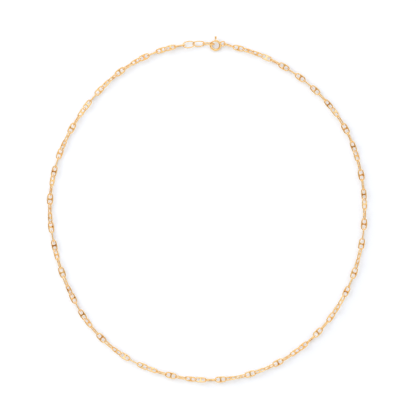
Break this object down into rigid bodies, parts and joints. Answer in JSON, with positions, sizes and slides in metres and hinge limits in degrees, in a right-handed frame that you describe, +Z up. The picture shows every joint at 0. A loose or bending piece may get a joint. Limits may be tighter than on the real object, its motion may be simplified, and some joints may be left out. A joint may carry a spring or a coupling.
{
  "type": "mariner link chain necklace",
  "caption": "Flat oval links with a crossbar each, interlocked in a closed loop and fastened by a spring ring clasp with a sliding gate.",
  "frame": {"origin": "on the surface that the necklace lies on, under the middle of its bounding box", "axes": "+Z up from the surface; +Y from the middle of the loop towards the clasp; +X to the right, so that the loop lies as it is pictured from above"},
  "size_m": [0.1424, 0.1539, 0.0032],
  "materials": {
    "gold": "polished yellow gold"
  },
  "bodies": {
    "necklace": {"chain": "gold", "end_link_1": "gold", "end_link_2": "gold", "end_link_3": "gold", "clasp_ring": "gold"},
    "gate": {"clasp_gate": "gold"}
  },
  "joints": [
    {"name": "gate_slide", "type": "hinge", "parent": "necklace", "child": "gate", "pos_m": [0.00378, 0.07244, 0.00109], "axis": [0.0216, 0.2748, -0.9613], "range_deg": [0, 41], "stiffness_Nm_per_rad": 0.002, "springref_deg": -28.65}
  ]
}
